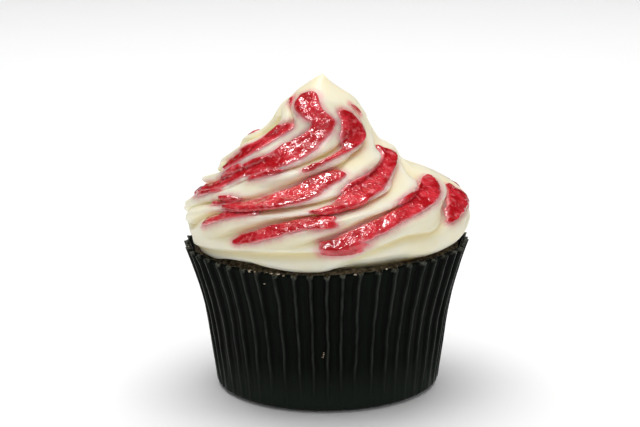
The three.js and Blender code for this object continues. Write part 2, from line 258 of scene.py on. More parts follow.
def pleat_depth(height):
    return PLEAT_DEPTH_FOOT + (PLEAT_DEPTH_RIM - PLEAT_DEPTH_FOOT) * height / CASE_HEIGHT


def pleat_shares():
    """Where the columns of a pleat lie, from one fold to the next, crowded at the fold."""
    even = np.arange(PLEAT_COLUMNS) / PLEAT_COLUMNS
    return even - PLEAT_CROWDING * np.sin(2 * math.pi * even) / (2 * math.pi)


foot_width, rim_width = 2 * case_radius(np.array([0, CASE_HEIGHT]))
print("case", round(foot_width, 1), "mm across at the foot and", round(rim_width, 1), "mm at the rim")

# %% How uneven the folds and the rim are
# A fold leans by a share of a pleat, reaches a share of its full depth, and fades out at a height.
PLEAT_LEAN = 0.13
PLEAT_REACH = (0.6, 1.0)
PLEAT_FADE = (0.5, 6)
PLEAT_FADE_LENGTH = 2
PLEAT_WAVER = 0.09
PLEAT_TREMOR = 0.03
WAVER_LENGTH = 5
WAVER_HEIGHTS = (1, 8)
NEXT_IN_NOISE = 5.3
VALLEY_CALM = (0.3, 0.5)
WALL_DENTS = 0.1
WALL_DENT_WIDTH = 6
WALL_DENT_HEIGHTS = (1, 6)

RIM_LIFT = (-0.45, 0.15)
RIM_LIFT_DEPTH = 2.5
RIM_NIBBLES = 0.22
RIM_NIBBLE_WIDTH = 1.1
RIM_CIRCLE = 33
RIM_RISE = [
    (-150, 0.6), (-122, 0.1), (-100, 0), (-76, 0.3), (-56, 1.0), (-30, 1.0), (0, 0.4), (90, 0),
    (180, 0.3),
]
RIM_RISE_DEPTH = 8

luck = random.Random(52)


def drawn(low, high):
    """One number at random for each fold of the case."""
    return np.array([luck.uniform(low, high) for _ in range(PLEATS)])


fold_lean = drawn(-PLEAT_LEAN, PLEAT_LEAN)
fold_reach = drawn(*PLEAT_REACH)
rim_lift = drawn(*RIM_LIFT)
fold_fade = drawn(*PLEAT_FADE)
print("the first fold leans by", round(fold_lean[0], 3), "of a pleat")

# %% Where each point of the case belongs
case_shape, row, column = spun_tube(CASE_ROWS + FLOOR_ROWS, PLEATS * PLEAT_COLUMNS)
pleat = column // PLEAT_COLUMNS
share = pleat_shares()[column % PLEAT_COLUMNS]
from_fold = np.minimum(share, 1 - share)
nearest = np.where(share < 0.5, pleat, pleat + 1) % PLEATS
level = np.clip((row - FLOOR_ROWS) / (CASE_ROWS - 1), 0, 1)
height = CASE_HEIGHT * level

along_fold = np.stack([nearest * NEXT_IN_NOISE, height / WAVER_LENGTH, np.zeros_like(height)], -1)
waver = PLEAT_WAVER * bumps(along_fold, 1, 21) + PLEAT_TREMOR * bumps(along_fold, 0.3, 22)
calm = 1 - smooth_step(*VALLEY_CALM, from_fold)
lean = (fold_lean[nearest] + waver * smooth_step(*WAVER_HEIGHTS, height)) * calm
degrees = (pleat + share + lean) * 360 / PLEATS

in_valley = smooth_step(PLEAT_TOP, PLEAT_SIDE, from_fold)
bulge = VALLEY_BULGE * (1 - np.cos(2 * math.pi * from_fold)) / 2
fade_end = fold_fade[nearest] + PLEAT_FADE_LENGTH
depth = pleat_depth(height) * smooth_step(-PLEAT_FADE_LENGTH, fade_end, height)
radius = case_radius(height) - depth * (1 - (1 - in_valley) * fold_reach[nearest] - bulge * in_valley)
dents = WALL_DENTS * bumps(around(radius, degrees, height), WALL_DENT_WIDTH, 23)
radius += dents * smooth_step(*WALL_DENT_HEIGHTS, height)
radius -= CASE_FOOT_ROUNDING * (1 - quarter_circle(height / CASE_FOOT_ROUNDING))

nibbles = RIM_NIBBLES * bumps(around(RIM_CIRCLE, degrees, 0), RIM_NIBBLE_WIDTH, 24)
ragged = rim_lift[nearest] * (1 - in_valley) + nibbles
rise_degrees, rise = zip(*RIM_RISE)
risen = np.interp(degrees, rise_degrees, rise, period=360)
edge = smooth_step(CASE_HEIGHT - RIM_LIFT_DEPTH, CASE_HEIGHT, height) * ragged
edge += risen * smooth_step(CASE_HEIGHT - RIM_RISE_DEPTH, CASE_HEIGHT, height)
places = around(radius, degrees, height + edge)

on_floor = row < FLOOR_ROWS
floor_edge = CASE_FOOT_RADIUS - CASE_FOOT_ROUNDING - PLEAT_DEPTH_FOOT / 2
places[on_floor] = around(floor_edge * (row[on_floor] / FLOOR_ROWS), degrees[on_floor], 0)
rim_heights = places[height >= CASE_HEIGHT, 2]
print("the rim is from", round(rim_heights.min(), 1), "to", round(rim_heights.max(), 1), "mm high")

# %% Marks for the finish of the paper, and the case
# Shares of a pleat from the fold, or heights, between which each mark comes up or fades out.
RIDGE_ENDS = (0.02, 0.1)
RIDGE_HEIGHTS = (2, 16)
SHADE_BAND_STARTS = (0.08, 0.16)
SHADE_BAND_ENDS = (0.24, 0.4)
FOOT_REFLECTION_HEIGHTS = (1, 13)
CUT_ENDS = (0.08, 0.24)

# Painted highlight: the ridge mark lightens a fine line along each fold, fading out towards the foot.
ridge = (1 - smooth_step(*RIDGE_ENDS, from_fold)) * smooth_step(*RIDGE_HEIGHTS, height)
# Painted shade: the beside mark darkens a band on both sides of each fold, but not on the foot.
beside = smooth_step(*SHADE_BAND_STARTS, from_fold) * (1 - smooth_step(*SHADE_BAND_ENDS, from_fold))
# Painted reflection: the foot mark makes the flat foot of the case lighter.
foot_reflection = 1 - smooth_step(*FOOT_REFLECTION_HEIGHTS, height)
# The cut mark makes the rim paler next to each fold.
cut = (height >= CASE_HEIGHT) * (1 - smooth_step(*CUT_ENDS, from_fold))
marks = {"ridge": ridge, "beside": beside * (1 - foot_reflection), "foot": foot_reflection, "cut": cut}
shape_points(case_shape, places, marks)
case = make_piece("fluted_case", case_shape, "paper_case")
paper = case.modifiers.new("paper", "SOLIDIFY")
paper.thickness = PAPER * MM
paper.offset = -1

# %% [markdown]
# ## The sponge
#
# A chocolate sponge fills its case and bakes to a low dome. Only a ring of it shows, between the
# paper and the cream, so the fine crumb goes there: lumps and open pores on the shoulder of the
# dome. A Displace modifier could press in the crumb, but it would roughen the whole sponge. Pushing
# the points by noise lets the crumb fade out under the cream, and leaves the hidden wall plain.

# %% The sizes of the sponge
GAP = 0.3
CAKE_FLOOR = cake_low.z
CAKE_WALL_START = 1.5
CAKE_CORNER = 0.8
CAKE_EDGE_HEIGHT = 34.2
CAKE_DOME = 4.4
CAKE_DOME_POWER = 5
CAKE_COLUMNS = 440
BOTTOM_ROWS = 4
WALL_ROWS = 12
CRUST_ROWS = 56
CRUST_CROWDING = 3

CRUMB_RADII = (25, 28)
CRUMB_HEIGHTS = (32, 33.4)
CRUMB_LUMPS = 0.3
CRUMB_LUMP_WIDTH = 1.9
CRUMB_GRAINS = 0.12
CRUMB_GRAIN_WIDTH = 0.5
CRUMB_PORES = 0.42
PORE_WIDTH = 0.75
PORE_START = 0.1
PORE_GAIN = 1.8
CRUMB_OUTWARD = 0.6
CRUMB_UPWARD = 0.8


def cake_wall(height):
    """Radius of the sponge inside the valleys of the paper."""
    return case_radius(height) - pleat_depth(height) - PAPER_ROOM - GAP


CAKE_EDGE = float(cake_wall(CAKE_EDGE_HEIGHT)) - GAP


def crust_height(radius):
    """The baked top of the sponge, which the cream sits on."""
    edge = np.clip(np.asarray(radius) / CAKE_EDGE, 0, 1)
    return CAKE_EDGE_HEIGHT + CAKE_DOME * (1 - edge ** CAKE_DOME_POWER)


print("the sponge is", round(2 * CAKE_EDGE, 1), "mm across and", CAKE_EDGE_HEIGHT + CAKE_DOME, "mm high")

# %% The sponge
cake_shape, row, column = spun_tube(BOTTOM_ROWS + WALL_ROWS + CRUST_ROWS, CAKE_COLUMNS)
degrees = column * 360 / CAKE_COLUMNS
up_wall = np.clip((row - BOTTOM_ROWS) / (WALL_ROWS - 1), 0, 1)
over_crust = np.clip((row - BOTTOM_ROWS - WALL_ROWS + 1) / CRUST_ROWS, 0, 1)
wall_height = CAKE_WALL_START + (CAKE_EDGE_HEIGHT - CAKE_CORNER - CAKE_WALL_START) * up_wall
crust_radius = CAKE_EDGE * (1 - over_crust ** CRUST_CROWDING)
bottom_radius = (cake_wall(CAKE_WALL_START) - CAKE_CORNER) * row / (BOTTOM_ROWS - 1)
on_bottom = row < BOTTOM_ROWS
on_crust = over_crust > 0
radius = np.where(on_crust, crust_radius, cake_wall(wall_height))
radius = np.where(on_bottom, bottom_radius, radius)
height = np.where(on_crust, crust_height(crust_radius), wall_height)
height = np.where(on_bottom, CAKE_FLOOR, height)
places = around(radius, degrees, height)
shown = smooth_step(*CRUMB_RADII, radius) * smooth_step(*CRUMB_HEIGHTS, height)
pores = np.clip(bumps(places, PORE_WIDTH, 31) - PORE_START, 0, 1) * PORE_GAIN
lumps = CRUMB_LUMPS * bumps(places, CRUMB_LUMP_WIDTH, 32)
crumb = lumps + CRUMB_GRAINS * bumps(places, CRUMB_GRAIN_WIDTH, 33) - CRUMB_PORES * pores
places += around(CRUMB_OUTWARD, degrees, CRUMB_UPWARD) * (crumb * shown)[:, None]
# The pores mark is also used for a painted shade that darkens the sponge in its pores.
shape_points(cake_shape, places, {"pores": np.clip(pores, 0, 1)})
cake = make_piece("chocolate_sponge", cake_shape, "cake")

# %% [markdown]
# ## How the swirl is ruled
#
# A star nozzle lays a rope with ridges, and as it circles inwards and upwards its ridges become
# folds that turn round the swirl. Each fold has a crest, a ledge that falls in behind it to a
# groove, and then the round face of the next fold. Sculpting twelve folds by hand would never meet
# at the back, so a rule makes them: a radius for each height, a turn that all folds share, and the
# angle that each fold starts from. The same sizes rule the solid in the frame.

# %% The sizes of the swirl
SWIRL_BASE = 35.5
SWIRL_TOP = swirl_high.z
SEAT_RADIUS = 30

# The radius of the swirl at each height, at its left and at its right.
LEFT_PROFILE = [
    (35.5, 32.8), (36.4, 33.2), (38, 33.4), (41, 34), (44, 34.3), (47.5, 32), (49.8, 30.4),
    (52, 27.2), (54.5, 25.6), (57, 23), (59.6, 20.4), (62, 15.8), (64.6, 13), (68.5, 10.6),
    (70, 8.8), (72, 6.4), (74.5, 2.5), (76, 0),
]
RIGHT_PROFILE = [
    (35.5, 32.8), (36.4, 33.9), (38, 34.6), (42, 34.9), (45, 34.7), (48, 31.6), (50.4, 28),
    (51.7, 25.6), (53, 21.2), (54.8, 18.6), (57.6, 16.8), (59.2, 13.6), (64.6, 10.4), (67, 9.2),
    (70, 7), (72, 4.2), (74.5, 1.2), (76, 0),
]
TIP_OFFSET = 0.4
TIP_START = 70

# How far all the folds have turned at each height.
SWIRL_TURN = [
    (40, -22), (42, -8), (44, 4), (47, 22), (49, 46), (51, 68), (54, 86), (58, 112), (61, 126),
    (63.5, 132), (66, 126), (70, 104), (76, 86),
]

# The angle that each crest in front starts from, at each of the levels. The crests behind share out
# the rest of the round evenly, and each is then shifted a little.
FOLD_LEVELS = (40, 46, 50, 54, 58, 62, 66)
FRONT_FOLDS = {
    "low right": (-70, -74, -77, -85, -84, -82, -80),
    "low front": (-110, -112, -116, -108, -104, -102, -102),
    "waist": (-140, -150, -143, -126, -114, -118, -124),
    "middle": (-158, -172, -171, -167, -162, -150, -146),
    "branch": (-178, -184, -210, -219, -203, -170, -164),
    "upper": (-182, -190, -216, -226, -226, -219, -204),
    "crown": (-214, -236, -246, -249, -261, -268, -251),
}
BACK_SHIFTS = (5, 6, 12, 14, 23)

# A groove is full where its crests are far enough apart. It fades out between two heights at the
# skirt, which are lifted by an amount for each angle, and between two radii at the tip.
FOLD_DEPTH = 3.1
FOLD_FULL_GAP = 30
FOLD_FADE = (38, 43)
FOLD_FADE_LIFT = [
    (-180, -1.5), (-163, -1.5), (-148, 2), (-110, 2.2), (-82, 1), (-70, 1.5), (-55, 3.6), (-38, 3.6),
    (-22, 1.5), (-5, 1), (40, 0), (140, 0), (180, -1.5),
]
FOLD_FADE_RADIUS = (6, 16)
GROOVE_SHARE = 0.5
LEDGE_CURVE = 0.9
FACE_CURVE = 3

# How far the lower edge of the cream is raised at each angle.
EDGE_LIFT = [
    (-180, 2.8), (-168, 2.4), (-158, 0), (-144, 0), (-134, 1), (-124, 1.4), (-115, 0.6), (-106, 0.3),
    (-93, 0.2), (-85, 1.1), (-76, 2.2), (-60, 2.6), (-52, 1.7), (-42, 1.3), (-30, 1.5), (-12, 2.4),
    (40, 1.6), (110, 0.8), (180, 2.8),
]
EDGE_EVEN_ABOVE = 42

# %% How uneven the cream is
CREST_SOFTNESS = 0.055
SOFTNESS_STEPS = 7
CREST_WANDER = 0.03
CREST_WANDER_LENGTH = 3.5
CREST_WANDER_START = (42, 46)
WAVE_EDGE = 0.3
WAVE_EDGE_WIDTH = 9
WAVE_EDGE_TOP = 40
SOFT_DENTS = 0.16
SOFT_DENT_WIDTH = 7
SMALL_DENTS = 0.05
SMALL_DENT_WIDTH = 2.2
RELIEF_FADE_RADIUS = 10

# Drag lines run along the folds: many waves across one, and few up its height.
DRAG_LINES = 0.07
DRAG_START = (40, 45)
DRAG_ACROSS = 9
DRAG_ALONG = 0.12

# A crease runs through angles and heights, between a first and a last angle, with a depth.
SKIRT_CREASES = [
    ([(-165, 36), (-151, 36.9), (-137, 38), (-116, 39.4), (-93, 40.3), (-80, 40.6)], (-168, -84), 1.1),
    ([(-90, 36.5), (-82, 37.9), (-74, 40), (-66, 41.6), (-57, 42.8), (-45, 42.3), (-37, 43.6), (-30, 46)],
     (-88, -20), 1.0),
    ([(0, 39), (60, 40.5), (120, 39), (180, 37)], (-5, 190), 0.8),
]
CREASE_ABOVE = 0.5
CREASE_BELOW = 1.5
CREASE_FADES = (10, 12)

# %% The rule of the swirl
left_radius = curve_through(LEFT_PROFILE)
right_radius = curve_through(RIGHT_PROFILE)
swirl_turn = curve_through(SWIRL_TURN)
edge_rise = curve_through(EDGE_LIFT)
fade_lift = curve_through(FOLD_FADE_LIFT)
fold_starts = [curve_through(list(zip(FOLD_LEVELS, angles))) for angles in FRONT_FOLDS.values()]
FOLD_NAMES = list(FRONT_FOLDS)
FOLDS = len(FRONT_FOLDS) + len(BACK_SHIFTS)


def swirl_radius(height, degrees):
    """The radius without folds, blended round the axis from the left profile to the right."""
    rightness = (1 + np.cos(np.radians(degrees))) / 2
    return left_radius(height) + (right_radius(height) - left_radius(height)) * rightness


def crest_angles(height):
    """The angle of every crest, going clockwise, with the first one again at the end."""
    level = np.clip(height, FOLD_LEVELS[0], FOLD_LEVELS[-1])
    turn = swirl_turn(np.maximum(height, FOLD_LEVELS[0]))
    front = [start(level) + turn for start in fold_starts]
    step = (front[-1] - (front[0] - 360)) / (len(BACK_SHIFTS) + 1)
    back = [front[-1] - step * (k + 1) + shift for k, shift in enumerate(BACK_SHIFTS)]
    return np.stack([*front, *back, front[0] - 360], -1)


def fold_shape(share):
    """0 on a crest and 1 in the groove behind it. Share runs from one crest to the next."""
    ledge = (np.minimum(share, GROOVE_SHARE) / GROOVE_SHARE) ** LEDGE_CURVE
    face = ((1 - np.maximum(share, GROOVE_SHARE)) / (1 - GROOVE_SHARE)) ** FACE_CURVE
    return np.where(share < GROOVE_SHARE, ledge, face)


def soft_fold_shape(share, softness):
    """The same, with its edges rounded: the mean of the shape a little to both sides."""
    steps = np.linspace(-softness, softness, SOFTNESS_STEPS)
    return sum(fold_shape((share + step) % 1) for step in steps) / len(steps)


def fold_depth(height, degrees, gap):
    """How deep a groove goes in, which is less at the skirt, at the tip and in narrow folds."""
    lift = fade_lift(half_turn(degrees))
    low = smooth_step(FOLD_FADE[0] + lift, FOLD_FADE[1] + lift, height)
    top = smooth_step(*FOLD_FADE_RADIUS, swirl_radius(height, degrees))
    return FOLD_DEPTH * low * top * np.clip(gap / FOLD_FULL_GAP, 0, 1)


def edge_lift(height, degrees):
    """How far the lower edge of the cream is raised, less and less up to a height."""
    return edge_rise(half_turn(degrees)) * (1 - smooth_step(SWIRL_BASE, EDGE_EVEN_ABOVE, height))


def fold_angle(fold, share, height):
    """The angle of a point on a fold, and the gap from its crest to the next."""
    crests = crest_angles(height)
    crest = np.take_along_axis(crests, fold[..., None], -1)[..., 0]
    after = np.take_along_axis(crests, fold[..., None] + 1, -1)[..., 0]
    return crest - (crest - after) * share, crest - after


def skirt_crease(degrees, height):
    """How deep the soft creases above the skirt press in."""
    degrees = half_turn(degrees)
    pressed = np.zeros_like(degrees)
    fade_in, fade_out = CREASE_FADES
    for knots, (first, last), depth in SKIRT_CREASES:
        beyond = height - curve_through(knots)(degrees)
        width = np.where(beyond > 0, CREASE_ABOVE, CREASE_BELOW)
        inside = smooth_step(first, first + fade_in, degrees)
        inside *= 1 - smooth_step(last - fade_out, last, degrees)
        pressed += depth * inside * np.exp(-((beyond / width) ** 2))
    return pressed


def ruled_cream(fold, share, height, softness):
    """Points on the cream by the rule alone, with the depth of the groove at each."""
    fold, share, height = np.broadcast_arrays(fold, share, height)
    degrees, gap = fold_angle(fold, share, height)
    groove = fold_depth(height, degrees, gap) * soft_fold_shape(share, softness)
    radius = swirl_radius(height, degrees) - groove
    return around(radius, degrees, height + edge_lift(height, degrees)), groove / FOLD_DEPTH


def cream_relief(fold, share, height, places):
    """What the hand and the soft cream add to the rule, in the direction away from the axis."""
    # The number of a fold moves it elsewhere in the noise, so that no two folds are alike.
    drag = np.stack([share * DRAG_ACROSS + fold * 3, height * DRAG_ALONG, fold * 1.7], -1)
    relief = SOFT_DENTS * bumps(places, SOFT_DENT_WIDTH, 11)
    relief += SMALL_DENTS * bumps(places, SMALL_DENT_WIDTH, 12)
    relief += DRAG_LINES * bumps(drag, 1, 13) * smooth_step(*DRAG_START, height)
    near_tip = np.clip(radius_of(places) / RELIEF_FADE_RADIUS, 0, 1)
    return relief * near_tip - skirt_crease(degrees_of(places), places[:, 2])


def cream_surface(fold, share, height, softness):
    """Points on the cream as it was piped, with the depth of the groove at each."""
    along_crest = np.stack([height / CREST_WANDER_LENGTH, fold * 7.1, np.zeros(len(height))], -1)
    wander = CREST_WANDER * bumps(along_crest, 1, 3) * smooth_step(*CREST_WANDER_START, height)
    share = share + wander * np.sin(math.pi * share)
    places, groove = ruled_cream(fold, share, height, softness)
    radius = radius_of(places) + cream_relief(fold, share, height, places)
    degrees = degrees_of(places)
    low = 1 - smooth_step(SWIRL_BASE, WAVE_EDGE_TOP, height)
    wave = WAVE_EDGE * bumps(around(SEAT_RADIUS, degrees, 0), WAVE_EDGE_WIDTH, 14) * low
    places = around(radius, degrees, places[:, 2] + wave)
    places[:, 0] -= TIP_OFFSET * smooth_step(TIP_START, SWIRL_TOP, height)
    return places, groove


print(FOLDS, "folds")

# %% [markdown]
# ## The sauce
#
# Raspberry sauce is thick and runs slowly. It settles on the ledges behind the crests, stops with
# round ends, and stands up by its own surface tension. Each streak is a slab made from a flat grid
# that is extruded once, then bent along its ledge between two heights. Its underside lies a little
# inside the cream, and its top swells up in the middle, so that no gap shows at its edge. A fluid
# simulation could pour the sauce, but not onto chosen ledges. The sauce is made before the cream,
# because the cream next to it takes its stain.

# %% Where each streak lies
# Each row of a streak has a height, and how far it reaches from the crest (0) to the next (1).
# Below 0 it hangs over its crest, onto the face of the fold in front.
FRONT_STREAKS = [
    ("low right", [
        (39.6, -0.24, -0.1), (40.1, -0.22, 0.03), (40.8, -0.18, 0.14), (41.5, -0.12, 0.27),
        (42.2, -0.07, 0.38), (42.9, 0, 0.46), (43.6, 0.03, 0.42), (44.6, 0.03, 0.46),
        (46.2, 0.01, 0.45), (47.2, -0.05, 0.42), (48.5, -0.06, 0.5), (49.6, -0.03, 0.84),
        (50.6, 0, 0.94), (51.2, 0.03, 0.55), (51.8, 0.05, 0.2),
    ]),
    ("low front", [
        (40.8, 0.02, 0.1), (42, 0.02, 0.31), (43.5, 0.04, 0.4), (45, 0.04, 0.42), (45.7, 0.02, 0.42),
        (46.05, -0.27, 0.4), (46.8, -0.18, 0.4), (47.5, 0, 0.38), (48, 0.1, 0.34),
    ]),
    ("waist", [
        (43.2, -0.02, 0.1), (44.6, -0.02, 0.28), (46.2, 0, 0.38), (47.2, 0.04, 0.66), (48, 0.2, 0.96),
        (48.4, 0.5, 1),
    ]),
    ("waist", [
        (48.5, -0.68, -0.4), (49, -0.66, -0.02), (49.6, -0.62, 0.1), (50.2, -0.42, 0.22),
        (51, -0.14, 0.42), (51.8, -0.05, 0.6), (53, -0.05, 0.82), (54.2, -0.05, 0.86),
        (55.4, -0.05, 0.72), (56.4, -0.03, 0.52), (57.4, 0.08, 0.5), (58.2, 0.26, 0.52),
        (59, 0.4, 0.56),
    ]),
    ("middle", [
        (47.9, -0.06, 0.08), (48.4, -0.26, 0.22), (49.5, -0.24, 0.36), (50.3, -0.16, 0.44),
        (51.4, -0.07, 0.5), (53, 0.04, 0.45), (55, 0.07, 0.52), (55.8, 0.2, 0.56), (56.4, 0.34, 0.58),
    ]),
    ("middle", [
        (47.5, 0.2, 0.36), (48.4, 0.25, 0.5), (49.2, 0.4, 0.66), (50, 0.56, 0.86), (50.6, 0.72, 0.9),
    ]),
    ("middle", [
        (66.8, 0, 0.14), (68, 0, 0.24), (69.3, 0.02, 0.12),
    ]),
    ("branch", [
        (47.8, 0.1, 0.3), (48.5, 0.06, 0.85), (49.4, 0.02, 0.95), (50.4, 0.3, 0.95), (51, 0.55, 0.85),
    ]),
    ("branch", [
        (53.8, 0.02, 0.3), (54.4, 0.01, 0.9), (55, 0.02, 0.97), (55.8, 0.3, 0.98), (56.8, 0.66, 0.94),
    ]),
    ("branch", [
        (56.3, -0.2, -0.1), (57.4, -0.08, 0.1), (59, 0.02, 0.2), (60.3, -0.02, 0.34),
        (61.5, -0.11, 0.62), (63.3, -0.05, 0.8), (65, 0, 0.8), (67, 0.04, 0.7), (68.6, 0.08, 0.5),
    ]),
    ("upper", [
        (47.3, -0.02, 0.26), (50, 0.02, 0.46), (52, 0.02, 0.62), (53.5, 0.04, 0.82), (54.6, 0.2, 0.9),
        (55.6, 0.5, 0.97), (56.6, 0.84, 0.98),
    ]),
    ("upper", [
        (54.3, 0.02, 0.25), (55.4, 0.02, 0.6), (56.6, -0.03, 0.84), (57.8, -0.06, 0.84),
        (59, -0.05, 0.76), (60.4, 0, 0.76), (62, 0.05, 0.72), (63.6, 0.04, 0.66), (65.5, -0.02, 0.66),
        (67, -0.08, 0.82), (69.5, -0.05, 0.97), (71.3, -0.05, 0.9), (72.3, -0.02, 0.6),
    ]),
    ("crown", [
        (53.6, 0.02, 0.3), (55.5, 0.02, 0.6), (57.5, 0.02, 0.66), (59, 0, 0.76), (60.5, 0, 0.72),
        (62.5, 0, 0.85), (64, -0.03, 0.94), (65.6, -0.03, 0.7),
    ]),
    ("crown", [
        (69, 0.16, 0.36), (70, 0.3, 0.68), (70.8, 0.44, 0.66),
    ]),
]
LAST_BACK_STREAK = [
    (43, 0.2, 0.3), (43.6, 0.12, 0.34), (44.4, 0.05, 0.38), (45.2, 0, 0.42), (46.2, -0.01, 0.43),
    (47.2, 0.06, 0.46), (48, 0.2, 0.48), (48.6, 0.36, 0.48),
]

# The heights between which the streaks on the folds behind lie, and how far such a streak reaches
# from its crest at each share of its length, where it tapers at both ends.
BACK_STREAKS = [[(45, 53)], [(42, 49), (56, 61)], [(47, 56), (60, 66)], [(43, 51)]]
BACK_REACH = [(0, 0.02, 0.12), (0.2, 0.02, 0.34), (0.55, 0.03, 0.44), (0.85, 0.04, 0.36), (1, 0.12, 0.26)]

# Where pulp has gathered, by angle, height and radius, and how far it reaches from there.
PULP_SPOTS = [
    (-96, 65.5, 10, 2.6), (-99, 63.2, 11.3, 2.2), (-126, 60.7, 15.8, 2.4), (-120, 61.4, 13.6, 2.4),
    (-143, 50.2, 29.6, 1.6), (-87, 54.8, 20.2, 2), (-95, 53.4, 22.2, 2.4), (-104, 52.1, 24.4, 2.4),
    (-117, 51, 25.7, 2), (-125, 49, 30.6, 1.6), (-95, 47, 31.8, 2), (-101, 46.3, 32.1, 1.6),
    (-79, 51.3, 24.9, 2.4), (-74, 52.2, 22.2, 2), (-50, 48.6, 28.3, 3), (-58, 47.4, 30.5, 2.2),
    (-71, 46.1, 31.5, 2.4), (-80, 44.5, 32.1, 2.2), (-10, 47, 31.4, 2),
]


def back_streak(low, high):
    return [(low + (high - low) * along, near, far) for along, near, far in BACK_REACH]


streaks = [(FOLD_NAMES.index(name), rows) for name, rows in FRONT_STREAKS]
first_back = len(FOLD_NAMES)
streaks += [(first_back + k, back_streak(*span)) for k, spans in enumerate(BACK_STREAKS) for span in spans]
streaks.append((FOLDS - 1, LAST_BACK_STREAK))
print(len(streaks), "streaks of sauce")

# %% The sizes of the sauce
SAUCE_HEIGHT = 0.75
SAUCE_SUNK = 0.06
SAUCE_UNDERSIDE = 0.45
SAUCE_SOFTNESS = 0.22
SAUCE_END = 1.6
SAUCE_SWELL_POWER = 3.6
SAUCE_STEP = 0.28
SAUCE_LEAST_STEPS = 12
SAUCE_ACROSS = 18
SAUCE_LEAST_WIDTH = 0.05
SPINE_POINTS = 60

# The edges and the top are uneven by an amount, with bumps of a width.
NEAR_RAGGED = 0.03
NEAR_RAGGED_WIDTH = 1.7
NEAR_NIBBLES = 0.02
NEAR_NIBBLE_WIDTH = 0.7
FAR_RAGGED = 0.03
FAR_RAGGED_WIDTH = 2.1
SAUCE_LUMPS = 0.4
SAUCE_LUMP_WIDTH = 2.6
SAUCE_DIMPLES = 0.22
SAUCE_DIMPLE_WIDTH = 1.1

# The slope of the cream is taken between points this far to both sides, on softened folds.
NORMAL_SHARE = 0.03
NORMAL_HEIGHT = 0.15
NORMAL_SOFTNESS = 0.2

# %% Helpers for the sauce


def pulp_at(places):
    """How much pulp has gathered in the sauce at some places."""
    pulp = np.zeros(len(places))
    for degrees, height, radius, reach in PULP_SPOTS:
        apart = np.linalg.norm(places - around(radius, degrees, height), axis=1)
        pulp = np.maximum(pulp, np.exp(-((apart / reach) ** 2)))
    return pulp


def over_crest(fold, share):
    """The fold and the share of a point on a streak. Below 0 it lies on the fold in front."""
    hangs = share < 0
    return (fold - hangs) % FOLDS, np.where(hangs, share + 1, share)


def sauce_slab(length):
    """A flat slab, with how far along and across each of its points is, and if it is on top."""
    steps = max(SAUCE_LEAST_STEPS, int(length / SAUCE_STEP))
    slab = bmesh.new()
    bmesh.ops.create_grid(slab, x_segments=steps, y_segments=SAUCE_ACROSS, size=1)
    top = bmesh.ops.extrude_face_region(slab, geom=slab.faces[:], use_keep_orig=True)
    top_points = {vert for vert in top["geom"] if isinstance(vert, bmesh.types.BMVert)}
    on_top = np.array([vert in top_points for vert in slab.verts])
    flat = np.array([vert.co for vert in slab.verts])
    return slab, (flat[:, 0] + 1) / 2 * length, flat[:, 1], on_top


def away_from_cream(fold, share, height, ground):
    """The direction straight away from the cream at each point."""
    beside = ruled_cream(fold, np.minimum(share + NORMAL_SHARE, 1), height, NORMAL_SOFTNESS)[0]
    before = ruled_cream(fold, np.maximum(share - NORMAL_SHARE, 0), height, NORMAL_SOFTNESS)[0]
    above = ruled_cream(fold, share, height + NORMAL_HEIGHT, NORMAL_SOFTNESS)[0]
    below = ruled_cream(fold, share, height - NORMAL_HEIGHT, NORMAL_SOFTNESS)[0]
    away = np.cross(beside - before, above - below)
    away /= np.linalg.norm(away, axis=1, keepdims=True) + 1e-9
    outward = np.sum(away * around(1, degrees_of(ground), 0.5), axis=1)
    return away * np.sign(outward)[:, None]


# %% Laying one streak on its ledge


def laid_streak(fold, rows, seed):
    """One closed streak of sauce, with its thickness and its pulp marked on its points."""
    heights, nears, fars = zip(*rows)
    near_edge = curve_through(list(zip(heights, nears)))
    far_edge = curve_through(list(zip(heights, fars)))
    spine_heights = np.linspace(heights[0], heights[-1], SPINE_POINTS)
    middle = (near_edge(spine_heights) + far_edge(spine_heights)) / 2
    spine = ruled_cream(*over_crest(fold, middle), spine_heights, SAUCE_SOFTNESS)[0]
    travelled = np.concatenate([[0], np.cumsum(np.linalg.norm(np.diff(spine, axis=0), axis=1))])
    length = travelled[-1]
    slab, along, across, on_top = sauce_slab(length)

    height = np.interp(along, travelled, spine_heights)
    from_end = np.minimum(along, length - along) / min(SAUCE_END, length / 2)
    round_end = quarter_circle(from_end)
    on_edge = np.stack([along, np.full_like(along, fold * 9.0), across * 0], -1)
    ragged = NEAR_RAGGED * bumps(on_edge, NEAR_RAGGED_WIDTH, seed)
    ragged += NEAR_NIBBLES * bumps(on_edge, NEAR_NIBBLE_WIDTH, seed + 50)
    near = near_edge(height) + ragged
    far = far_edge(height) + FAR_RAGGED * bumps(on_edge, FAR_RAGGED_WIDTH, seed + 90)
    narrowed = np.maximum(round_end, SAUCE_LEAST_WIDTH)
    share = np.minimum((near + far) / 2 + (far - near) / 2 * across * narrowed, 1)
    folds, share = over_crest(fold, share)

    cream = cream_surface(folds, share, height, CREST_SOFTNESS)[0]
    filled = cream_surface(folds, share, height, SAUCE_SOFTNESS)[0]
    fuller = radius_of(filled) > radius_of(cream)
    ground = np.where((fuller & on_top)[:, None], filled, cream)
    swell = np.sqrt(np.clip(1 - np.abs(across) ** SAUCE_SWELL_POWER, 0, 1)) * round_end
    lumps = 1 + SAUCE_LUMPS * bumps(ground, SAUCE_LUMP_WIDTH, seed + 7)
    lumps += SAUCE_DIMPLES * bumps(ground, SAUCE_DIMPLE_WIDTH, seed + 8)
    thickness = SAUCE_HEIGHT * swell * lumps
    lifted = np.where(on_top, thickness - SAUCE_SUNK, -SAUCE_UNDERSIDE)
    places = ground + away_from_cream(folds, share, height, ground) * lifted[:, None]
    marks = {"thickness": np.where(on_top, thickness / SAUCE_HEIGHT, 0), "pulp": pulp_at(places)}
    shape_points(slab, places, marks)
    return slab


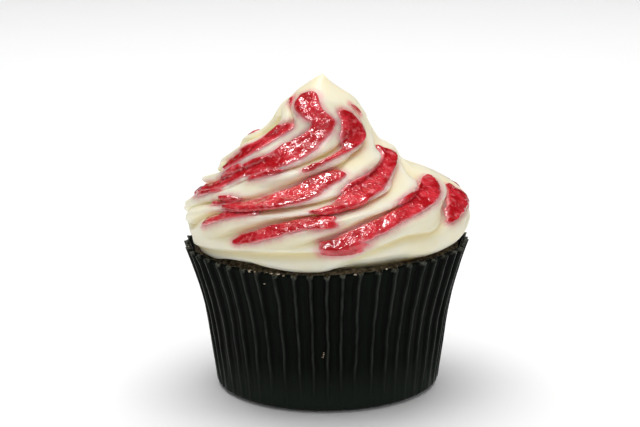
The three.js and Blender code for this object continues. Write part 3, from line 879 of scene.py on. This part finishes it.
# %% The sauce
sauce_shape = bmesh.new()
for mark in ("thickness", "pulp"):
    sauce_shape.verts.layers.float.new(mark)
for seed, (fold, rows) in enumerate(streaks):
    streak = laid_streak(fold, rows, seed)
    part = bpy.data.meshes.new("streak")
    streak.to_mesh(part)
    streak.free()
    sauce_shape.from_mesh(part)
    bpy.data.meshes.remove(part)
sauce_tree = BVHTree.FromBMesh(sauce_shape)
sauce = make_piece("raspberry_sauce", sauce_shape)

# %% [markdown]
# ## The swirl of buttercream
#
# The tube for the swirl has its columns on the folds, close together at the crests and in the
# grooves, where the shape turns sharply. To the rule are added what a real hand and a soft cream
# add: edges that are rounded, faint drag lines along the folds, a crease above the skirt where the
# first round of cream lies under the second, and a lower edge that waves. A star profile swept
# along a spiral could make it too, but its rounds would cut into each other, and the cream has to
# be one closed skin for the light that enters it.

# %% The swirl
FOLD_COLUMNS = 28
COLUMN_CROWDING = 0.55
SIDE_ROWS = 232
SEAT_ROWS = 5
STAIN_REACH = 1.0
STAIN_SEARCH = 2.5
CREASE_SHADE = 0.75


def fold_shares():
    """Where the columns of a fold lie, crowded at the crest and in the groove."""
    even = np.arange(FOLD_COLUMNS) / FOLD_COLUMNS
    return even - COLUMN_CROWDING * np.sin(4 * math.pi * even) / (4 * math.pi)


swirl_shape, row, column = spun_tube(SEAT_ROWS + SIDE_ROWS, FOLDS * FOLD_COLUMNS)
backwards = FOLDS * FOLD_COLUMNS - 1 - column
fold = backwards // FOLD_COLUMNS
share = fold_shares()[backwards % FOLD_COLUMNS]
wall = np.maximum(row - SEAT_ROWS, 0) / (SIDE_ROWS - 1)
height = SWIRL_BASE + (SWIRL_TOP - SWIRL_BASE) * wall

places, groove = cream_surface(fold, share, height, CREST_SOFTNESS)
degrees = degrees_of(places)
seat = row < SEAT_ROWS
seat_radius = SEAT_RADIUS * row[seat] / (SEAT_ROWS - 1)
places[seat] = around(seat_radius, degrees[seat], crust_height(seat_radius) + GAP)
tip = row == row.max()
places[tip] = (-TIP_OFFSET, 0, SWIRL_TOP)

stain = np.zeros(len(places))
for k, place in enumerate(places):
    distance = sauce_tree.find_nearest(Vector(place * MM), STAIN_SEARCH * MM)[3]
    if distance is not None:
        stain[k] = math.exp(-((distance / MM / STAIN_REACH) ** 2))
crease = skirt_crease(degrees, places[:, 2])
# The groove mark carries how deep each groove and crease is, for the painted shade of the finish.
marks = {"groove": np.maximum(groove, CREASE_SHADE * crease), "stain": stain}
shape_points(swirl_shape, places, marks)
swirl = make_piece("buttercream_swirl", swirl_shape, "frosting")

# %% [markdown]
# ## Crumbs
#
# A few crumbs of cake cling to the rim and to the folds of the case, and the rim has some pale
# torn fibres, which are made as crumbs too. Particles could scatter them, but so few of them look
# better where they are put one by one. Each is a small ball of a few dozen faces, squeezed and
# dented out of round, and they are joined to one piece, because nothing moves them apart.

# %% Crumbs
# The angle, height and radius of each crumb, and its size.
CRUMB_SPOTS = [
    (-122, 35.0, 33.4, 0.42), (-119, 35.1, 33.9, 0.3), (-115, 35.0, 33.2, 0.5), (-112, 35.2, 34.0, 0.34),
    (-109.5, 35.1, 33.5, 0.45), (-107, 34.9, 33.9, 0.26), (-79, 35.1, 33.5, 0.3), (-66, 35.7, 33.4, 0.3),
    (-95, 35.0, 33.0, 0.24), (-115.4, 32.4, 33.4, 0.2), (-92.3, 14.2, 28.95, 0.18), (-92.1, 14.6, 29.0, 0.18),
    (-91.9, 15.0, 29.05, 0.17), (-91.8, 15.4, 29.1, 0.13),
    (30, 35.1, 33.4, 0.4), (75, 35.0, 33.6, 0.34), (140, 35.1, 33.3, 0.4), (190, 35.0, 33.5, 0.36),
]
CRUMB_SHAPE = [(0.9, 1.6), (0.6, 1.2), (0.4, 0.9)]
CRUMB_DENTS = 0.45
CRUMB_DENT_SCALE = 1.6

crumbs_shape = bmesh.new()
luck = random.Random(7)
for degrees_at, height_at, radius_at, size in CRUMB_SPOTS:
    ball = bmesh.ops.create_icosphere(crumbs_shape, subdivisions=2, radius=1)
    squeeze = Vector([luck.uniform(low, high) for low, high in CRUMB_SHAPE]) * size
    centre = Vector(around(radius_at, degrees_at, height_at))
    for vert in ball["verts"]:
        dent = 1 + CRUMB_DENTS * noise.noise(vert.co * CRUMB_DENT_SCALE + centre)
        vert.co = (centre + Vector([a * b * dent for a, b in zip(vert.co, squeeze)])) * MM
bmesh.ops.recalc_face_normals(crumbs_shape, faces=crumbs_shape.faces)
crumbs = make_piece("crumbs", crumbs_shape)

# %% [markdown]
# ## Finishes
#
# Every finish is a small net of nodes round one Principled shader. What changes over a surface, such
# as a stain or a crease, comes from the marks that the shapes carry or from noise on Object
# coordinates, so it stays in place from every side. A painted picture could do the same, but it
# would need the skin unfolded flat. What is the same all over is set on the shader.

# %% Helpers for the finishes


class Finish:
    """A material with short ways to add and link its nodes."""

    def __init__(self, name):
        self.material = bpy.data.materials.new(name)
        self.material.use_nodes = True
        self.tree = self.material.node_tree
        self.shader = self.tree.nodes["Principled BSDF"]
        self.place = self.tree.nodes.new("ShaderNodeTexCoord").outputs["Object"]

    def set(self, **values):
        """Sets sockets of the shader, by their names with _ for a space."""
        for name, value in values.items():
            self.shader.inputs[name.replace("_", " ")].default_value = value

    def link(self, output, socket):
        """Leads the output of a node to a socket of the shader."""
        self.tree.links.new(output, self.shader.inputs[socket])

    def mark(self, name):
        """A mark that the shape carries, as a number."""
        node = self.tree.nodes.new("ShaderNodeAttribute")
        node.attribute_name = name
        return node.outputs["Fac"]

    def noise(self, size, detail=3.0, roughness=0.5, stretch=(1, 1, 1)):
        """Noise with bumps of a size in millimetres."""
        mapping = self.tree.nodes.new("ShaderNodeMapping")
        mapping.inputs["Scale"].default_value = [1 / (size * MM * along) for along in stretch]
        self.tree.links.new(self.place, mapping.inputs["Vector"])
        node = self.tree.nodes.new("ShaderNodeTexNoise")
        node.inputs["Scale"].default_value = 1
        node.inputs["Detail"].default_value = detail
        node.inputs["Roughness"].default_value = roughness
        self.tree.links.new(mapping.outputs["Vector"], node.inputs["Vector"])
        return node.outputs["Fac"]

    def spread(self, value, low, high, to_low=0.0, to_high=1.0):
        """Stretches a range of a value to another range, smoothly and within it."""
        node = self.tree.nodes.new("ShaderNodeMapRange")
        node.interpolation_type = "SMOOTHSTEP"
        for socket, number in zip(("From Min", "From Max", "To Min", "To Max"), (low, high, to_low, to_high)):
            node.inputs[socket].default_value = number
        self.tree.links.new(value, node.inputs["Value"])
        return node.outputs["Result"]

    def math(self, operation, first, second):
        """The sum, product or the larger of two, which are numbers or outputs of nodes."""
        node = self.tree.nodes.new("ShaderNodeMath")
        node.operation = operation
        for socket, value in zip(node.inputs, (first, second)):
            if isinstance(value, (int, float)):
                socket.default_value = value
            else:
                self.tree.links.new(value, socket)
        return node.outputs[0]

    def blend(self, share, first, second):
        """A colour between two, which are colours or outputs of nodes."""
        node = self.tree.nodes.new("ShaderNodeMix")
        node.data_type = "RGBA"
        self.tree.links.new(share, node.inputs["Factor"])
        first_colour, second_colour = node.inputs[6], node.inputs[7]
        for socket, colour in ((first_colour, first), (second_colour, second)):
            if isinstance(colour, tuple):
                socket.default_value = (*colour, 1)
            else:
                self.tree.links.new(colour, socket)
        return node.outputs[2]

    def bump(self, height, distance, strength=1.0):
        """Small relief with a height in millimetres."""
        node = self.tree.nodes.new("ShaderNodeBump")
        node.inputs["Strength"].default_value = strength
        node.inputs["Distance"].default_value = distance * MM
        self.tree.links.new(height, node.inputs["Height"])
        self.link(node.outputs["Normal"], "Normal")
        self.link(node.outputs["Normal"], "Coat Normal")

    def put_on(self, piece):
        piece.data.materials.append(self.material)
        print(self.material.name, "on", piece.name, "with", len(self.tree.nodes), "nodes")


# %% [markdown]
# ### Buttercream
#
# Buttercream is a satin white with a little yellow from the butter. Light enters it and comes out
# again nearby, which softens its shadows and makes its grooves glow warm: subsurface scattering
# does that, where a plain white would look like plaster. Its grooves and creases also get a painted
# shade that makes them darker and yellower, and next to the sauce it is stained pink, in patches.

# %% Buttercream
CREAM = (0.89, 0.828, 0.64)
CREAM_CLOUD = (0.87, 0.79, 0.57)
CREAM_GROOVE_SHADE = (0.87, 0.76, 0.46)
CREAM_PINK = (0.8, 0.28, 0.3)
CREAM_GLOW = (1.0, 0.88, 0.66)
CREAM_GLOW_REACH = 6
GROOVE_SHADE_STRENGTH = 0.85
CREAM_GRAIN = 0.05
STAIN_STRENGTH = 0.92

buttercream = Finish("buttercream")
buttercream.set(
    Roughness=0.42, Specular_IOR_Level=0.4,
    Subsurface_Weight=0.8, Subsurface_Scale=CREAM_GLOW_REACH * MM,
)
buttercream.shader.inputs["Subsurface Radius"].default_value = CREAM_GLOW
# Painted shade: the groove mark makes the cream darker and yellower in its grooves and creases.
groove_shade = buttercream.spread(buttercream.mark("groove"), 0.08, 0.9, 0.0, GROOVE_SHADE_STRENGTH)
cloudy = buttercream.spread(buttercream.noise(9), 0.35, 0.65)
cream_colour = buttercream.blend(cloudy, CREAM, CREAM_CLOUD)
cream_colour = buttercream.blend(groove_shade, cream_colour, CREAM_GROOVE_SHADE)
patchy = buttercream.spread(buttercream.noise(1.6), 0.3, 0.7, 0.55, 1.0)
stained = buttercream.math("MULTIPLY", buttercream.mark("stain"), patchy)
stained = buttercream.math("MULTIPLY", stained, STAIN_STRENGTH)
cream_colour = buttercream.blend(stained, cream_colour, CREAM_PINK)
buttercream.link(cream_colour, "Base Color")
fine_grain = buttercream.noise(0.5, 2)
coarse_grain = buttercream.math("MULTIPLY", buttercream.noise(2.5), 2.0)
buttercream.bump(buttercream.math("ADD", fine_grain, coarse_grain), CREAM_GRAIN, 0.5)
buttercream.put_on(swirl)

# %% [markdown]
# ### Raspberry sauce
#
# The sauce is clear fruit jelly with pulp and fine seeds in it. Where it is thick it is deep red,
# and at its thin edges the cream shines through and makes it pink. Clear glass with colour in its
# depth could do that, but it takes long to render and stays noisy, so the marked thickness blends
# the colours. The skin is wet and gets a sharp coat, and where pulp has gathered, small lumps break
# the reflections up to bright specks.

# %% Raspberry sauce
SAUCE_DEEP = (0.46, 0.004, 0.009)
SAUCE_MID = (0.72, 0.03, 0.045)
SAUCE_PULP = (0.8, 0.18, 0.2)
SAUCE_THIN = (0.84, 0.27, 0.29)
SAUCE_GLOW = (1.0, 0.15, 0.1)
SAUCE_GLOW_REACH = 1
SAUCE_RELIEF = 0.46
SEED_SHARE = 0.42

raspberry = Finish("raspberry_sauce")
raspberry.set(
    Roughness=0.22, Specular_IOR_Level=0.5, Coat_Weight=0.8, Coat_Roughness=0.06,
    Subsurface_Weight=0.15, Subsurface_Scale=SAUCE_GLOW_REACH * MM,
)
raspberry.shader.inputs["Subsurface Radius"].default_value = SAUCE_GLOW
pools = raspberry.noise(4.5, 2)
pulp = raspberry.noise(1.5, 4, 0.6)
gathered = raspberry.math("MULTIPLY", raspberry.mark("pulp"), 0.6)
middling = raspberry.math("MAXIMUM", raspberry.spread(pools, 0.4, 0.62), gathered)
sauce_colour = raspberry.blend(middling, SAUCE_DEEP, SAUCE_MID)
sauce_colour = raspberry.blend(raspberry.spread(pulp, 0.52, 0.7, 0.0, 0.7), sauce_colour, SAUCE_PULP)
thin = raspberry.spread(raspberry.mark("thickness"), 0.1, 0.85, 1.0, 0.0)
raspberry.link(raspberry.blend(thin, sauce_colour, SAUCE_THIN), "Base Color")
seeds = raspberry.spread(raspberry.noise(0.7, 1, 0.4), 0.45, 0.75)
swells = raspberry.noise(1.8, 1.5, 0.4)
pulpy = raspberry.math("MAXIMUM", raspberry.mark("pulp"), raspberry.spread(pools, 0.4, 0.6, 0.2, 0.55))
relief = raspberry.math("ADD", raspberry.math("MULTIPLY", seeds, SEED_SHARE), swells)
raspberry.bump(raspberry.math("MULTIPLY", relief, pulpy), SAUCE_RELIEF)
raspberry.put_on(sauce)

# %% [markdown]
# ### Sponge, crumbs and paper
#
# The sponge is matte, and a painted shade makes it darkest in its pores; the crumbs are a paler
# brown. The paper is greaseproof: dyed nearly black, with a dull sheen. A fine grey line along each
# fold is a painted highlight, a band beside each fold is darkened with painted shade, the flat foot
# is lighter with a painted reflection, and the rim is paler next to each fold. The marks on the case
# say where that is, so that the lines follow each crooked fold.

# %% Sponge and crumbs
SPONGE_DARK = (0.05, 0.038, 0.018)
SPONGE_LIGHT = (0.3, 0.23, 0.14)
CRUMB_BROWN = (0.24, 0.18, 0.12)
CRUMB_PALE = (0.66, 0.58, 0.44)
SPONGE_GRAIN = 0.25
CRUMB_GRAIN = 0.1

chocolate = Finish("chocolate_sponge")
chocolate.set(Roughness=0.9, Specular_IOR_Level=0.25)
crumb_tone = chocolate.spread(chocolate.noise(1.1, 5, 0.65), 0.35, 0.7)
crumb_colour = chocolate.blend(crumb_tone, SPONGE_DARK, SPONGE_LIGHT)
# Painted shade: the pores mark darkens the sponge in its pores.
chocolate.link(chocolate.blend(chocolate.mark("pores"), crumb_colour, SPONGE_DARK), "Base Color")
chocolate.bump(chocolate.noise(0.4, 4, 0.7), SPONGE_GRAIN, 0.8)
chocolate.put_on(cake)

pale = Finish("pale_crumb")
pale.set(Roughness=0.85, Specular_IOR_Level=0.3)
pale_tone = pale.spread(pale.noise(0.8), 0.4, 0.6)
pale.link(pale.blend(pale_tone, CRUMB_BROWN, CRUMB_PALE), "Base Color")
pale.bump(pale.noise(0.3), CRUMB_GRAIN)
pale.put_on(crumbs)

# %% Paper
PAPER_DARK = (0.0008, 0.0022, 0.0008)
PAPER_LIGHT = (0.003, 0.0056, 0.003)
PAPER_FOOT_REFLECTION = (0.0125, 0.0172, 0.0128)
PAPER_PAINTED_SHADE = (0.0012, 0.0018, 0.0012)
PAPER_FOLD_HIGHLIGHT = (0.025, 0.029, 0.024)
PAPER_CUT = (0.15, 0.155, 0.125)
PAPER_GRAIN = 0.04

greaseproof = Finish("greaseproof_paper")
greaseproof.set(Specular_IOR_Level=0.05, Sheen_Weight=0.22, Sheen_Roughness=0.2)
fibres = greaseproof.noise(1.4, 5, 0.6, (1, 1, 4))
paper_colour = greaseproof.blend(greaseproof.spread(fibres, 0.35, 0.65), PAPER_DARK, PAPER_LIGHT)
# Painted shade in a band beside each fold.
paper_colour = greaseproof.blend(greaseproof.mark("beside"), paper_colour, PAPER_PAINTED_SHADE)
# Painted reflection: the flat foot is lighter.
paper_colour = greaseproof.blend(greaseproof.mark("foot"), paper_colour, PAPER_FOOT_REFLECTION)
# Painted highlight: a fine grey line along each fold, uneven along its length.
highlight_strength = greaseproof.spread(greaseproof.noise(2.2, 3, 0.6, (1, 1, 3)), 0.3, 0.6, 0.25, 1.0)
fold_highlight = greaseproof.math("MULTIPLY", greaseproof.mark("ridge"), highlight_strength)
# The rim is paler next to each fold.
frayed = greaseproof.spread(greaseproof.noise(1.3), 0.35, 0.6)
cut_edge = greaseproof.math("MULTIPLY", greaseproof.mark("cut"), frayed)
paper_colour = greaseproof.blend(cut_edge, paper_colour, PAPER_CUT)
greaseproof.link(greaseproof.blend(fold_highlight, paper_colour, PAPER_FOLD_HIGHLIGHT), "Base Color")
greaseproof.link(greaseproof.spread(fibres, 0.3, 0.7, 0.42, 0.6), "Roughness")
greaseproof.bump(greaseproof.noise(0.35, 3), PAPER_GRAIN, 0.6)
greaseproof.put_on(case)

# %% [markdown]
# ## Floor and light
#
# The cupcake stands on a white table top, as food is often shown. One large soft box hangs overhead
# and a little behind, so that the folds keep their shape, and a weak one low in front opens up the
# shadows. Neither is mirrored, because a lamp that large would whiten the wet sauce. Two small
# windows are mirrored alone: they give the sauce its bright specks and light nothing. The world
# adds an even glow from all sides, which isn't mirrored either. The Standard view shows colours as
# they are, where a filmic one would turn the cream grey.

# %% Floor
# The floor and the lamps are placed in metres.
FLOOR_RADIUS = 6.0
FLOOR_SIDES = 96
FLOOR_BELOW = 0.0002
TABLE_GREY = (0.94, 0.94, 0.94)
TABLE_WHITE = (0.96, 0.96, 0.96)

floor_shape = bmesh.new()
bmesh.ops.create_circle(floor_shape, cap_ends=True, segments=FLOOR_SIDES, radius=FLOOR_RADIUS)
floor_mesh = bpy.data.meshes.new("floor")
floor_shape.to_mesh(floor_mesh)
floor_shape.free()
floor = bpy.data.objects.new("floor", floor_mesh)
floor.location.z = -FLOOR_BELOW
bpy.context.scene.collection.objects.link(floor)
table_top = Finish("table_top")
table_top.set(Roughness=0.6, Specular_IOR_Level=0.2)
table_top.link(table_top.blend(table_top.noise(60), TABLE_GREY, TABLE_WHITE), "Base Color")
table_top.put_on(floor)

# %% Light
LAMPS_AIM = Vector((0, 0, 0.045))
WORLD_STRENGTH = 0.33


def soft_box(name, place, size, power, lit=True, mirrored=True):
    """A square lamp aimed at the cupcake, that lights it, is mirrored in its gloss, or both."""
    lamp = bpy.data.lights.new(name, "AREA")
    lamp.shape = "SQUARE"
    lamp.size = size
    lamp.energy = power
    lamp_object = bpy.data.objects.new(name, lamp)
    lamp_object.location = place
    lamp_object.visible_diffuse = lit
    lamp_object.visible_glossy = mirrored
    towards = LAMPS_AIM - Vector(place)
    lamp_object.rotation_euler = towards.to_track_quat("-Z", "Y").to_euler()
    bpy.context.scene.collection.objects.link(lamp_object)


# Each lamp has a place and a size in metres, and a power in watts.
soft_box("overhead", (-0.03, 0.24, 1.1), 1.2, 14.5, mirrored=False)
soft_box("low fill", (0.3, -0.95, 0.35), 0.8, 1.9, mirrored=False)
soft_box("front window", (-0.25, -0.45, 0.85), 0.2, 3.6, lit=False)
soft_box("back window", (-0.1, 0.15, 1.0), 0.24, 6, lit=False)

world = bpy.data.worlds.new("studio")
world.use_nodes = True
background = world.node_tree.nodes["Background"]
background.inputs["Color"].default_value = (1, 1, 1, 1)
background.inputs["Strength"].default_value = WORLD_STRENGTH
world.cycles_visibility.glossy = False
bpy.context.scene.world = world
bpy.context.scene.view_settings.view_transform = "Standard"
print("four lamps")
